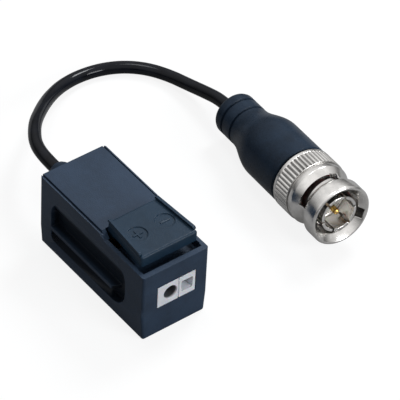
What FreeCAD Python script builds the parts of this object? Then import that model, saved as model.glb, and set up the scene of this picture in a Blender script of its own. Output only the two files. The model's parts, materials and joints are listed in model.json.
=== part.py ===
"""Passive video balun: a terminal box with a press lever, a short coax pigtail and a bayonet plug.

Millimetres, +Z up. The origin is the centre of the housing's bottom face, the wire terminal
faces -Y and the pigtail leaves the rear wall along +Y. The plug lies beside the housing.
"""
import FreeCAD, Part
import math
import os

os.makedirs("parts", exist_ok=True)

V = FreeCAD.Vector

# Clearance between pieces that touch or are pressed together, and how far a cutter runs past its cut
part_gap = 0.02
cut_past = 1.0

# Housing: outer size, walls and the line where the two shells meet
housing_width = 15.9
housing_depth = 34.6
housing_height = 18.3
side_wall = 0.9
end_wall = 1.2
floor_thickness = 1.2
top_thickness = 1.2
parting_height = 8.4
base_draft = 0.35
draft_height = 5.0
corner_radius = 0.55
bottom_radius = 0.5
lip_height = 0.7
lip_thickness = 0.4
lip_clearance = 0.05

# Shadow groove just inside the two long top edges
groove_inset = 0.3
groove_width = 0.35
groove_depth = 0.5
edge_drop = 0.2

# Interlock pocket in the left wall, with its shelf
pocket_front_setback = 5.9
pocket_length = 24.8
pocket_bottom = 3.5
pocket_top = 15.3
pocket_depth = 2.0
pocket_wall = 0.8
pocket_backing_top = 13.9
pocket_large_radius = 4.5
pocket_lower_radius = 1.3
scoop_low = 8.6
scoop_radius = 9.0
shelf_height = 2.7
shelf_thickness = 0.9
shelf_front_gap = 4.4
shelf_taper = 1.0

# Press lever
lever_setback = 2.25
lever_length = 12.3
lever_side_gap = 0.15
lever_taper = 0.85
lever_rise = 2.0
lever_height = 2.4
lever_plate = 1.2
lever_skirt = 1.0
lever_edge_radius = 0.6
rim_width = 0.65
rim_height = 0.6
rim_setback = 0.75
rim_end_radius = 0.45
pole_mark_diameter = 4.0
pole_mark_depth = 0.25
pole_mark_spacing = 6.6
pole_mark_setback = 8.35
mark_length = 2.2
mark_width = 0.45
mark_height = 0.15
lever_rear_gap = 0.3
notch_drop = 1.25
notch_slope = 2.0

# Lever pivot
pivot_drop = 2.7
pivot_gap = 2.0
pin_diameter = 1.2
pin_end_cover = 0.55
pin_running_clearance = 0.03
hub_wall = 0.65
ear_thickness = 1.2
ear_inset = 0.5
ear_root = 4.0
ear_top_gap = 0.15
boss_gap = 0.12

# Deck under the lever
deck_thickness = 0.9
deck_gap = 0.2
deck_length = 9.8
deck_hole_gap = 0.4

# Wire terminal
terminal_backing_gap = 0.6
terminal_wall_gap = 1.8
terminal_drop = 3.0
nose_height = 5.4
nose_lift = 1.1
nose_left_extra = 1.1
nose_clearance = 0.08
nose_step = 0.05
pole_groove = 0.25
terminal_side = 0.3
terminal_depth = 9.6
entry_diameter = 2.8
entry_corner_radius = 0.4
funnel_diameter = 3.3
funnel_depth = 0.5
chamber_side = 1.2
chamber_length = 4.6
chamber_floor = 1.2
chamber_front = 2.4
post_width = 1.6
post_length = 1.6
post_gap = 0.5

# Contacts and clamps in the terminal
contact_thickness = 0.5
contact_side_gap = 0.25
contact_drop = 1.5
tail_diameter = 0.9
tail_setback = 1.2
tail_reach = 1.0
spring_thickness = 0.25
spring_side_gap = 0.35
spring_top_gap = 0.2
spring_tip_gap = 0.3
spring_rear_leg = 2.1
spring_tip_drop = 1.0

# Circuit board and what stands on it
board_post_height = 3.2
board_post_diameter = 2.0
board_post_setback = 4.0
board_post_overlap = 0.3
board_thickness = 1.6
board_clearance = 0.2
board_rear_gap = 2.8
core_outer_diameter = 7.0
core_inner_diameter = 3.4
core_height = 3.2
core_chamfer = 0.3
winding_wire = 0.35
winding_turns = 10
winding_fan = 0.13
transformer_setback = 17.6
chip_length = 3.2
chip_width = 1.6
chip_height = 1.1
chip_chamfer = 0.2
chip_inset = 2.1
chip_setback = 24.6

# Strain relief and cable
cable_diameter = 2.8
bend_share = 0.45
cable_lead = 4.6
cable_lift = 0.05
conductor_diameter = 0.9
conductor_reach = 1.5
jacket_reach = 2.4
gland_rise = 3.2
gland_root_diameter = 6.0
gland_tip_diameter = 4.0
gland_neck_diameter = 4.6
gland_length = 5.6
gland_root_length = 1.2
gland_tip_radius = 0.4
gland_flange = 0.9

# Plug: stations are measured back from the coupling nut's front face
plug_x = 40.33
plug_y = -19.33
plug_yaw = -5.8
plug_tilt = 5.2
floor_gap = 0.02

# Coupling nut
nut_flange_radius = 6.9
nut_flange_length = 3.3
nut_flange_slope = 1.5
nut_bore_radius = 4.95
nut_waist_wall = 0.7
nut_waist_length = 1.2
nut_flare_length = 2.0
nut_collar_radius = 6.95
nut_collar_length = 1.2
nut_edge = 0.3
ring_groove_depth = 0.35
ring_groove_width = 0.35
knurl_radius = 7.15
knurl_count = 48
knurl_depth = 0.32
knurl_share = 0.76
rear_rim_length = 0.8
mouth_radius = 6.3
mouth_depth = 1.4
shoulder_length = 1.0
rear_recess_depth = 1.1

# Bayonet tracks in the nut, as angles round the plug's axis and stations along it
cam_break = 0.3
cam_overcut = 0.6
cam_width = 2.2
cam_entry_angle = 160.0
cam_seat_angle = 68.0
cam_start = 6.2
cam_end = 6.9
cam_seat_station = 6.1
cam_step = 0.03

# Axial spring of the nut
running_clearance = 0.1
thrust_ring_thickness = 0.5
spring_room = 1.46
wave_thickness = 0.25
wave_count = 3
wave_steps = 36
retaining_height = 1.15
retaining_thickness = 0.6
retaining_groove = 0.3
retaining_split = 1.6
retaining_room = 1.0

# Plug body, contacts and insulator, from the middle outwards
center_pin_radius = 0.67
center_pin_station = 1.3
center_pin_nose = 0.54
center_pin_shoulder = 0.3
insulator_radius = 2.95
insulator_station = 5.4
insulator_length = 9.6
spigot_wall = 0.53
spigot_station = 5.6
contact_wall = 0.63
contact_tip_station = 0.7
contact_edge = 0.2
contact_foot = 0.3
contact_slit_count = 6
contact_slit_angle = 9.0
contact_slit_width = 0.45
contact_slit_length = 5.3
gasket_length = 1.4
body_wall = 0.48
body_flange_station = 9.6
body_flange_length = 0.9
stem_station = 16.2
stem_length = 5.8
stem_wall = 1.0
braid_gap = 0.35

# Moulded boot
ferrule_length = 7.0
boot_gap = 0.5
boot_front_radius = 7.0
boot_front_edge = 0.3
boot_barrel_length = 11.1
boot_shoulder_length = 7.8
boot_neck_radius = 4.85
boot_neck_length = 7.0
boot_groove_depth = 0.4
boot_groove_width = 0.5
boot_groove_places = (2.9, 6.2)
boot_shoulder_blend = 0.5
boot_shoulder_steps = 8
boot_end_radius = 1.0

# Places in the housing that follow from the sizes above
half_width = housing_width / 2
front_y = -housing_depth / 2
rear_y = housing_depth / 2
top_inside = housing_height - top_thickness
room_half = half_width - side_wall
board_bottom = floor_thickness + board_post_height
board_top = board_bottom + board_thickness
pocket_back_x = -half_width + pocket_depth
backing_x = pocket_back_x + pocket_wall
board_mid_x = (backing_x + room_half) / 2
gland_height = parting_height + gland_rise
gland_inner_y = rear_y - end_wall - gland_flange
jacket_end_y = gland_inner_y - jacket_reach
conductor_y = jacket_end_y - conductor_reach

# Places of the lever
lever_front_y = front_y + lever_setback
lever_rear_y = lever_front_y + lever_length
lever_top = housing_height + lever_rise
lever_bottom = lever_top - lever_height
lever_front_half = room_half - lever_side_gap
lever_rear_half = lever_front_half - lever_taper
opening_rear_y = lever_rear_y + lever_rear_gap
notch_top = housing_height - notch_drop
pivot_y = lever_rear_y + pivot_gap
pivot_height = housing_height - pivot_drop
pin_length = housing_width - 2 * pin_end_cover
hub_radius = pin_diameter / 2 + hub_wall
ear_outer = lever_rear_half - ear_inset

# Places in the terminal
nose_left = backing_x + terminal_backing_gap + terminal_side
nose_right = room_half - terminal_wall_gap - terminal_side
pole_pitch = (nose_right - nose_left - nose_left_extra) / 2
nose_divide = nose_right - pole_pitch
pole_xs = (nose_divide - pole_pitch / 2, nose_divide + pole_pitch / 2)
nose_bottom = board_top + nose_lift
entry_height = nose_bottom + nose_height / 2
terminal_front_y = front_y + end_wall
terminal_top = top_inside - terminal_drop
chamber_width = pole_pitch - chamber_side
chamber_front_y = terminal_front_y + chamber_front
chamber_rear_y = chamber_front_y + chamber_length
chamber_bottom = board_top + chamber_floor
post_y = (chamber_front_y + chamber_rear_y) / 2
tail_y = chamber_rear_y - part_gap - tail_setback
deck_bottom = terminal_top + deck_gap

# Stations and radii in the plug
nut_waist_radius = nut_bore_radius + nut_waist_wall
nut_waist_start = nut_flange_length + nut_flange_slope
nut_waist_end = nut_waist_start + nut_waist_length
nut_collar_front = nut_waist_end + nut_flare_length
nut_collar_end = nut_collar_front + nut_collar_length
knurl_start = nut_collar_end + ring_groove_width
cam_radius = nut_waist_radius + cam_break
insulator_end = insulator_station + insulator_length
spigot_radius = insulator_radius + part_gap + spigot_wall
contact_outer_radius = spigot_radius + part_gap + contact_wall
body_radius = insulator_radius + part_gap + body_wall
body_flange_radius = nut_bore_radius - running_clearance
contact_foot_radius = contact_outer_radius + contact_foot
gasket_station = body_flange_station - part_gap - gasket_length
body_flange_end = body_flange_station + body_flange_length
thrust_station = body_flange_end + spring_room
shoulder_station = thrust_station + thrust_ring_thickness + part_gap
shoulder_end = shoulder_station + shoulder_length
retaining_station = shoulder_end + part_gap
retaining_radius = body_radius + retaining_height
nut_length = shoulder_end + rear_recess_depth
cable_bore = cable_diameter / 2 + part_gap
cable_low = cable_diameter / 2 + cable_lift
stem_radius = cable_bore + stem_wall
boot_start = nut_length + boot_gap
boot_barrel_end = boot_start + boot_barrel_length
boot_shoulder_end = boot_barrel_end + boot_shoulder_length
boot_end = boot_shoulder_end + boot_neck_length
ferrule_end = stem_station + part_gap + ferrule_length


def save(name, shape):
    """Write one sub-part and say how large it is."""
    shape.exportStep("parts/" + name + ".step")
    print(name, "solids", len(shape.Solids), "volume", round(shape.Volume, 2), "valid", shape.isValid())


def block(x0, x1, y0, y1, z0, z1):
    """A box between two corners."""
    return Part.makeBox(x1 - x0, y1 - y0, z1 - z0, V(x0, y0, z0))


def prism(points, direction):
    """A closed outline, given as points, pushed along a direction."""
    return Part.Face(Part.makePolygon(points + [points[0]])).extrude(direction)


def fillet_where(shape, radius, test):
    """Round the edges that the test picks."""
    return shape.makeFillet(radius, [edge for edge in shape.Edges if test(edge)])


def is_upright(edge):
    """True for a straight edge that runs along Z."""
    start, end = edge.Vertexes[0].Point, edge.Vertexes[-1].Point
    return len(edge.Vertexes) == 2 and abs(start.x - end.x) + abs(start.y - end.y) < 1e-6


def turned(points):
    """Revolve an outline of (radius, station) pairs about the plug's axis; stations run backwards."""
    outline = [V(radius, 0, -station) for radius, station in points]
    face = Part.Face(Part.makePolygon(outline + [outline[0]]))
    return face.revolve(V(0, 0, 0), V(0, 0, 1), 360)


def blend_rings(shape, rings):
    """Round turned edges: each ring is (edge radius, station, fillet radius)."""
    for radius, station, fillet in rings:
        shape = fillet_where(shape, fillet, lambda edge: edge.Curve.TypeId == "Part::GeomCircle"
                             and abs(edge.Curve.Radius - radius) < 1e-6
                             and abs(edge.Curve.Center.z + station) < 1e-6)
    return shape


def tube(outer, inner, start, length):
    """A plain ring about the plug's axis."""
    return turned([(inner, start), (outer, start), (outer, start + length), (inner, start + length)])


def rounded_path(points):
    """Straight runs joined by tangent arcs, each as large as its two runs allow, and the radii."""
    edges = []
    radii = []
    start = points[0]
    for before, corner, after in zip(points, points[1:], points[2:]):
        back, ahead = before.sub(corner), after.sub(corner)
        tangent = bend_share * min(back.Length, ahead.Length)
        back.normalize()
        ahead.normalize()
        half_turn = (math.pi - back.getAngle(ahead)) / 2
        radius = tangent / math.tan(half_turn)
        middle = back.add(ahead)
        middle.normalize()
        centre = corner.add(middle * (radius / math.cos(half_turn)))
        enter, leave = corner.add(back * tangent), corner.add(ahead * tangent)
        edges.append(Part.LineSegment(start, enter).toShape())
        edges.append(Part.Arc(enter, centre.sub(middle * radius), leave).toShape())
        radii.append(radius)
        start = leave
    edges.append(Part.LineSegment(start, points[-1]).toShape())
    return Part.Wire(edges), radii


def boot_skin():
    """Outer rings of the boot's barrel and S-curved shoulder, as (radius, station) pairs."""
    rings = [(boot_front_radius - boot_front_edge, boot_start),
             (boot_front_radius, boot_start + boot_front_edge)]
    first = boot_barrel_end - boot_shoulder_blend
    reach = boot_shoulder_end + boot_shoulder_blend - first
    for step in range(boot_shoulder_steps + 1):
        share = step / boot_shoulder_steps
        fall = (1 - math.cos(math.pi * share)) / 2
        rings.append((boot_front_radius - fall * (boot_front_radius - boot_neck_radius), first + share * reach))
    return rings


def plug_height():
    """Height of the nut's front face: the boot's barrel lies on the table and the mouth points slightly up."""
    tilt = math.radians(plug_tilt)
    return floor_gap + max(station * math.sin(tilt) + radius * math.cos(tilt) for radius, station in boot_skin())


def plug_placement():
    """From the plug's own axis to where the plug lies."""
    turn = FreeCAD.Rotation(V(0, 0, 1), plug_yaw).multiply(FreeCAD.Rotation(V(1, 0, 0), 90 - plug_tilt))
    return FreeCAD.Placement(V(plug_x, plug_y, plug_height()), turn)


def placed(shape):
    """Move a piece from the plug's own axis to where the plug lies."""
    moved = shape.copy()
    moved.Placement = plug_placement().multiply(moved.Placement)
    return moved


def outer_profile(bottom, top):
    """The housing's outer form between two heights, with the drafted foot of the lower shell."""
    foot = half_width - base_draft
    section = [V(-foot, front_y, 0), V(foot, front_y, 0), V(half_width, front_y, draft_height),
               V(half_width, front_y, housing_height), V(-half_width, front_y, housing_height),
               V(-half_width, front_y, draft_height)]
    form = prism(section, V(0, housing_depth, 0))
    corners = [edge for edge in form.Edges if abs(edge.Vertexes[0].Z - edge.Vertexes[1].Z) > 1]
    form = form.makeFillet(corner_radius, corners)
    form = fillet_where(form, bottom_radius, lambda edge: edge.BoundBox.ZMax < 0.01)
    return form.common(block(-half_width, half_width, front_y, rear_y, bottom, top))


def inner_room(bottom, top, grow=0.0):
    """The room inside the walls, wider all round by a given amount."""
    room = block(-room_half - grow, room_half + grow, front_y + end_wall - grow, rear_y - end_wall + grow,
                 bottom, top)
    return fillet_where(room, corner_radius / 2, is_upright)


def scoop_arc(start, end, side):
    """An arc of the pocket's section, bowed out of the wall for side -1 and into it for side 1."""
    middle = start.add(end) * 0.5
    across = end.sub(start).cross(V(0, 1, 0))
    across.normalize()
    bulge = scoop_radius - math.sqrt(scoop_radius ** 2 - end.sub(start).Length ** 2 / 4)
    return Part.Arc(start, middle.add(across * (side * bulge)), end).toShape()


def pocket_section(y):
    """The pocket's section: flat at the back, and an S-curve from there out to the wall's face."""
    low = pocket_bottom - cut_past
    outside = -half_width - 2 * cut_past
    rim = V(-half_width, y, pocket_top)
    deep = V(pocket_back_x, y, scoop_low)
    middle = rim.add(deep) * 0.5
    corners = [deep, V(pocket_back_x, y, low), V(outside, y, low), V(outside, y, pocket_top + cut_past),
               rim.add(V(-cut_past, 0, cut_past)), rim]
    edges = [Part.makeLine(start, end) for start, end in zip(corners, corners[1:])]
    edges.append(scoop_arc(rim, middle, -1))
    edges.append(scoop_arc(middle, deep, 1))
    return Part.Face(Part.Wire(edges))


def pocket_tool():
    """The rounded pocket that the left wall is cut with."""
    y0 = front_y + pocket_front_setback
    y1 = y0 + pocket_length
    form = block(-half_width - cut_past, pocket_back_x + cut_past, y0, y1, pocket_bottom, pocket_top)
    corners = [(y0, pocket_bottom, pocket_large_radius), (y0, pocket_top, pocket_large_radius),
               (y1, pocket_top, pocket_large_radius), (y1, pocket_bottom, pocket_lower_radius)]
    for y, z, radius in corners:
        form = fillet_where(form, radius, lambda edge: edge.BoundBox.XLength > 1
                            and abs(edge.CenterOfMass.y - y) < 0.01 and abs(edge.CenterOfMass.z - z) < 0.01)
    return form.common(pocket_section(y0 - cut_past).extrude(V(0, pocket_length + 2 * cut_past, 0)))


def pocket_backing(bottom, top):
    """The wall behind and around the pocket, inside the shells."""
    y0 = front_y + pocket_front_setback - pocket_wall
    return block(-half_width + side_wall / 2, backing_x, y0, y0 + pocket_length + 2 * pocket_wall, bottom, top)


def pocket_shelf():
    """The shelf in the pocket: flush with the wall and cut away towards the front."""
    y0 = front_y + pocket_front_setback
    y1 = y0 + pocket_length
    start = y0 + shelf_front_gap
    low = pocket_bottom + shelf_height
    outline = [V(-half_width, y1, low), V(pocket_back_x, y1, low), V(pocket_back_x, start - shelf_taper, low),
               V(-half_width, start, low)]
    return prism(outline, V(0, 0, shelf_thickness))


def terminal_window():
    """The opening in the front wall for the terminal's nose."""
    low, high = nose_bottom - nose_clearance, nose_bottom + nose_height + nose_clearance
    return block(nose_left - nose_clearance, nose_right + nose_clearance, front_y - cut_past,
                 front_y + end_wall + cut_past, low, high)


def gland_hole():
    """The round hole in the rear wall for the strain relief's neck."""
    radius = gland_neck_diameter / 2 + part_gap
    start = V(0, rear_y - end_wall - cut_past, gland_height)
    return Part.makeCylinder(radius, end_wall + 2 * cut_past, start, V(0, 1, 0))


def housing_base():
    """Lower shell: tub with a lip, board posts and the lower part of the pocket."""
    shell = outer_profile(0, parting_height).cut(inner_room(floor_thickness, parting_height + cut_past))
    shell = shell.fuse(pocket_backing(floor_thickness, parting_height))
    lip = inner_room(parting_height - lip_height, parting_height + lip_height, lip_thickness)
    lip = lip.cut(inner_room(parting_height - lip_height - cut_past, parting_height + lip_height + cut_past))
    shell = shell.fuse(lip)
    radius = board_post_diameter / 2
    inset = radius - board_post_overlap
    for x in (backing_x + inset, room_half - inset):
        for y in (front_y + end_wall + board_post_setback, rear_y - end_wall - board_post_setback):
            shell = shell.fuse(Part.makeCylinder(radius, board_post_height, V(x, y, floor_thickness)))
    shell = shell.cut(pocket_tool()).fuse(pocket_shelf())
    return shell.cut(terminal_window()).removeSplitter()


def lever_notch():
    """What is cut from the upper shell's front: the lever's opening and the lowered, sloped wall tops."""
    top = housing_height + cut_past
    x = -half_width - cut_past
    slope_y = opening_rear_y - notch_slope
    outline = [V(x, front_y - cut_past, notch_top), V(x, slope_y, notch_top),
               V(x, opening_rear_y, housing_height), V(x, opening_rear_y, top), V(x, front_y - cut_past, top)]
    walls = prism(outline, V(housing_width + 2 * cut_past, 0, 0))
    opening = block(-room_half, room_half, front_y + end_wall, slope_y, top_inside - cut_past, top)
    slot = prism(lever_outline(-lever_rear_gap, top_inside - cut_past), V(0, 0, top - top_inside + cut_past))
    return walls.fuse(opening).fuse(slot)


def edge_grooves():
    """Shadow groove along both long top edges, with the lower outer edge beside it."""
    tools = []
    for side in (-1, 1):
        outer = side * (half_width - groove_inset)
        inner = outer - side * groove_width
        edge = side * (half_width + cut_past)
        tools.append(block(min(outer, inner), max(outer, inner), front_y - cut_past, rear_y + cut_past,
                           housing_height - groove_depth, housing_height + cut_past))
        tools.append(block(min(outer, edge), max(outer, edge), front_y - cut_past, rear_y + cut_past,
                           housing_height - edge_drop, housing_height + cut_past))
    return tools


def pivot_boss(side):
    """The boss on one side wall that carries the lever's pin."""
    inner = ear_outer + boss_gap
    length = half_width - side_wall / 2 - inner
    x = inner if side > 0 else -inner - length
    return Part.makeCylinder(hub_radius, length, V(x, pivot_y, pivot_height), V(1, 0, 0))


def lever_deck():
    """The deck over the terminal, with a hole for each of the lever's posts."""
    y0 = front_y + end_wall / 2
    half = half_width - side_wall / 2
    deck = block(-half, half, y0, terminal_front_y + deck_length, deck_bottom, deck_bottom + deck_thickness)
    half_x, half_y = post_width / 2 + deck_hole_gap, post_length / 2 + deck_hole_gap
    for x in pole_xs:
        deck = deck.cut(block(x - half_x, x + half_x, post_y - half_y, post_y + half_y,
                              deck_bottom - cut_past, deck_bottom + deck_thickness + cut_past))
    return deck


def housing_cover():
    """Upper shell: walls, top behind the lever, deck, pin bosses and the upper part of the pocket."""
    backing = pocket_backing(parting_height, pocket_backing_top)
    lip_top = parting_height + lip_height + lip_clearance
    lip_edge = -room_half - lip_thickness - lip_clearance
    shell = outer_profile(parting_height, housing_height).cut(inner_room(parting_height - cut_past, top_inside))
    shell = shell.fuse(backing)
    shell = shell.cut(inner_room(parting_height - cut_past, lip_top, lip_thickness + lip_clearance))
    lip_slot = block(lip_edge, -room_half + lip_clearance, front_y, rear_y, parting_height - cut_past, lip_top)
    shell = shell.fuse(backing.cut(lip_slot)).fuse(lever_deck())
    shell = shell.cut(lever_notch())
    for side in (-1, 1):
        shell = shell.fuse(pivot_boss(side))
    shell = shell.cut(pivot_cylinder(pin_diameter / 2 + part_gap))
    for tool in edge_grooves():
        shell = shell.cut(tool)
    shell = shell.cut(pocket_tool()).cut(terminal_window()).cut(gland_hole())
    return shell.removeSplitter()


def pivot_cylinder(radius):
    """A cylinder as long as the pivot pin, on the lever's axis."""
    return Part.makeCylinder(radius, pin_length, V(-pin_length / 2, pivot_y, pivot_height), V(1, 0, 0))


def lever_outline(inset, z):
    """The lever's tapered outline at one height, moved inwards all round by the inset."""
    front_half, rear_half = lever_front_half - inset, lever_rear_half - inset
    y0, y1 = lever_front_y + inset, lever_rear_y - inset
    return [V(-front_half, y0, z), V(front_half, y0, z), V(rear_half, y1, z), V(-rear_half, y1, z)]


def lever_half_at(y):
    """Half the lever's width at a given place along it."""
    return lever_front_half - lever_taper * (y - lever_front_y) / lever_length


def lever_rim(side):
    """One raised rim along a long edge of the lever, with rounded ends."""
    y0, y1 = lever_front_y + rim_setback, lever_rear_y
    outer0, outer1 = side * lever_half_at(y0), side * lever_half_at(y1)
    inward = side * rim_width
    rim = prism([V(outer0, y0, lever_top), V(outer1, y1, lever_top), V(outer1 - inward, y1, lever_top),
                 V(outer0 - inward, y0, lever_top)], V(0, 0, rim_height))
    return fillet_where(rim, rim_end_radius, lambda edge: edge.BoundBox.ZMin > lever_top + rim_height - 0.01
                        and edge.BoundBox.YLength < 0.1)


def lever_ear(side):
    """One ear, from the lever's plate back to its hub on the pin."""
    outer = side * ear_outer
    x = min(outer, outer - side * ear_thickness)
    root_y = lever_rear_y - ear_root
    under_plate = lever_top - lever_plate
    profile = [V(x, root_y, under_plate), V(x, lever_rear_y, under_plate),
               V(x, lever_rear_y, top_inside - ear_top_gap), V(x, pivot_y, pivot_height + hub_radius),
               V(x, pivot_y, pivot_height - hub_radius), V(x, root_y, lever_bottom)]
    ear = prism(profile, V(ear_thickness, 0, 0))
    return ear.fuse(Part.makeCylinder(hub_radius, ear_thickness, V(x, pivot_y, pivot_height), V(1, 0, 0)))


def pole_mark(side):
    """A sunk dish in the lever's plate; what stays standing in it is a plus or a minus."""
    x, y = side * pole_mark_spacing / 2, front_y + pole_mark_setback
    z = lever_top - pole_mark_depth
    dish = Part.makeCylinder(pole_mark_diameter / 2, pole_mark_depth + cut_past, V(x, y, z))
    half, thin = mark_length / 2, mark_width / 2
    dish = dish.cut(block(x - half, x + half, y - thin, y + thin, z, z + mark_height))
    if side < 0:
        dish = dish.cut(block(x - thin, x + thin, y - half, y + half, z, z + mark_height))
    return dish


def press_lever():
    """Thumb plate with skirts, rims, two marked dishes, ears and the posts that open the clamps."""
    form = prism(lever_outline(0, lever_bottom), V(0, 0, lever_height))
    form = fillet_where(form, lever_edge_radius, is_upright)
    form = fillet_where(form, lever_edge_radius, lambda edge: edge.BoundBox.ZMin > lever_top - 0.01
                        and edge.BoundBox.YMax < lever_front_y + 0.01)
    hollow_height = lever_height - lever_plate + cut_past
    form = form.cut(prism(lever_outline(lever_skirt, lever_bottom - cut_past), V(0, 0, hollow_height)))
    for side in (-1, 1):
        form = form.fuse(lever_rim(side)).fuse(lever_ear(side)).cut(pole_mark(side))
    for x in pole_xs:
        form = form.fuse(block(x - post_width / 2, x + post_width / 2, post_y - post_length / 2,
                               post_y + post_length / 2, terminal_top + post_gap, lever_top - lever_plate))
    return form.cut(pivot_cylinder(pin_diameter / 2 + pin_running_clearance)).removeSplitter()


def lever_pin():
    """Steel pivot pin."""
    return pivot_cylinder(pin_diameter / 2)


def terminal_block():
    """White two-pole block: nose in the front wall, wire entries and open clamp chambers."""
    body = block(nose_left - terminal_side, nose_right + terminal_side, terminal_front_y,
                 terminal_front_y + terminal_depth, board_top, terminal_top)
    nose_front = front_y + nose_step
    body = body.fuse(block(nose_left, nose_right, nose_front, terminal_front_y,
                           nose_bottom, nose_bottom + nose_height))
    body = body.cut(block(nose_divide - pole_groove / 2, nose_divide + pole_groove / 2,
                          front_y - cut_past, nose_front + pole_groove,
                          nose_bottom - cut_past, nose_bottom + nose_height + cut_past))
    for x in pole_xs:
        body = body.cut(block(x - chamber_width / 2, x + chamber_width / 2, chamber_front_y, chamber_rear_y,
                              chamber_bottom, terminal_top + cut_past))
        body = body.cut(Part.makeCylinder(tail_diameter / 2 + part_gap, chamber_floor + 2 * cut_past,
                                          V(x, tail_y, board_top - cut_past)))
    left, right = pole_xs
    reach = chamber_front_y - front_y + cut_past
    start = V(left, front_y - cut_past, entry_height)
    body = body.cut(Part.makeCylinder(entry_diameter / 2, reach, start, V(0, 1, 0)))
    body = body.cut(Part.makeCone(funnel_diameter / 2, entry_diameter / 2, funnel_depth,
                                  V(left, nose_front, entry_height), V(0, 1, 0)))
    half = entry_diameter / 2
    square = block(right - half, right + half, front_y - cut_past, chamber_front_y + cut_past,
                   entry_height - half, entry_height + half)
    square = fillet_where(square, entry_corner_radius, lambda edge: edge.BoundBox.YLength > 1)
    return body.cut(square).removeSplitter()


def clamp_spring(x):
    """Bent leaf: over the top of the chamber, down its front and back onto the wire."""
    half = spring_thickness / 2
    front = chamber_front_y + part_gap + half
    rear = chamber_rear_y - contact_thickness - 2 * part_gap - half
    top = terminal_top - spring_top_gap - half
    points = [V(x, rear, top - spring_rear_leg), V(x, rear, top), V(x, front, top),
              V(x, front, entry_height + entry_diameter / 2),
              V(x, rear - spring_tip_gap, entry_height - spring_tip_drop)]
    path = rounded_path(points)[0]
    width = chamber_width / 2 - spring_side_gap
    z = points[0].z
    corners = [V(x - width, rear - half, z), V(x + width, rear - half, z), V(x + width, rear + half, z),
               V(x - width, rear + half, z)]
    return path.makePipeShell([Part.makePolygon(corners + [corners[0]])], True, False)


def contact_bar(x):
    """Tinned contact: upright bar, foot along the chamber floor and a solder tail through the board."""
    half = chamber_width / 2 - contact_side_gap
    rear = chamber_rear_y - part_gap
    low = chamber_bottom + part_gap
    bar = block(x - half, x + half, rear - contact_thickness, rear, low, terminal_top - contact_drop)
    foot = block(x - half, x + half, chamber_front_y + part_gap, rear, low, low + contact_thickness)
    bottom = board_bottom - tail_reach
    tail = Part.makeCylinder(tail_diameter / 2, low - bottom, V(x, tail_y, bottom))
    return bar.fuse(foot).fuse(tail).removeSplitter()


def circuit_board():
    """Board on the four posts, drilled for the contact tails and the cable's conductor."""
    board = block(backing_x + board_clearance, room_half - board_clearance, front_y + end_wall + board_clearance,
                  rear_y - end_wall - board_rear_gap, board_bottom, board_top)
    holes = [(x, tail_y, tail_diameter) for x in pole_xs] + [(0, conductor_y, conductor_diameter)]
    for x, y, diameter in holes:
        board = board.cut(Part.makeCylinder(diameter / 2 + part_gap, board_thickness + 2 * cut_past,
                                          V(x, y, board_bottom - cut_past)))
    return board


def ring_at(centre, outer, inner, low, high):
    """A flat ring about an upright axis."""
    ring = Part.makeCylinder(outer, high - low, V(centre.x, centre.y, low))
    return ring.cut(Part.makeCylinder(inner, high - low, V(centre.x, centre.y, low)))


def transformer_seat():
    """Middle of the toroid's underside, held off the board by its winding."""
    return V(board_mid_x, front_y + transformer_setback, board_top + 2 * part_gap + winding_wire)


def transformer_core():
    """Ferrite toroid with broken edges."""
    seat = transformer_seat()
    core = ring_at(seat, core_outer_diameter / 2, core_inner_diameter / 2, seat.z, seat.z + core_height)
    return core.makeChamfer(core_chamfer, [edge for edge in core.Edges if edge.BoundBox.ZLength < 0.01])


def transformer_winding():
    """Twisted pair wound on the toroid: the turns touch in the bore and fan out over the rim."""
    seat = transformer_seat()
    outer = core_outer_diameter / 2 + part_gap
    inner = core_inner_diameter / 2 - part_gap
    low, high = seat.z - part_gap, seat.z + core_height + part_gap
    coil = ring_at(seat, outer + winding_wire, inner - winding_wire, low - winding_wire, high + winding_wire)
    coil = coil.cut(ring_at(seat, outer, inner, low, high))
    reach = outer + 2 * winding_wire
    for turn in range(winding_turns):
        fan = reach * winding_fan
        z = low - cut_past
        gap = prism([V(inner, 0, z), V(reach, -fan, z), V(reach, fan, z)], V(0, 0, high + cut_past - z))
        gap.rotate(V(0, 0, 0), V(0, 0, 1), turn * 360 / winding_turns)
        gap.translate(V(seat.x, seat.y, 0))
        coil = coil.cut(gap)
    return coil


def chip(side):
    """A small surface-mounted part on the board, on one side of the cable's conductor."""
    x = board_mid_x + side * ((room_half - backing_x) / 2 - board_clearance - chip_inset)
    y = front_y + chip_setback
    z = board_top + part_gap
    body = block(x - chip_width / 2, x + chip_width / 2, y - chip_length / 2, y + chip_length / 2,
                 z, z + chip_height)
    middle = z + chip_height / 2
    top = [edge for edge in body.Edges if edge.BoundBox.YLength > 1 and edge.BoundBox.ZMin > middle]
    return body.makeChamfer(chip_chamfer, top)


def cable_gland():
    """Rubber strain relief: inner flange, neck in the wall and a tapered snout with a round end."""
    root, neck, tip = gland_root_diameter / 2, gland_neck_diameter / 2, gland_tip_diameter / 2
    end = rear_y + gland_length
    outline = [(cable_bore, gland_inner_y), (root, gland_inner_y), (root, rear_y - end_wall),
               (neck, rear_y - end_wall), (neck, rear_y), (root, rear_y), (root, rear_y + gland_root_length),
               (tip, end - gland_tip_radius), (tip - gland_tip_radius, end), (cable_bore, end)]
    points = [V(radius, y, 0) for radius, y in outline]
    gland = Part.Face(Part.makePolygon(points + [points[0]])).revolve(V(0, 0, 0), V(0, 1, 0), 360)
    gland.translate(V(0, 0, gland_height))
    return gland


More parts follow.
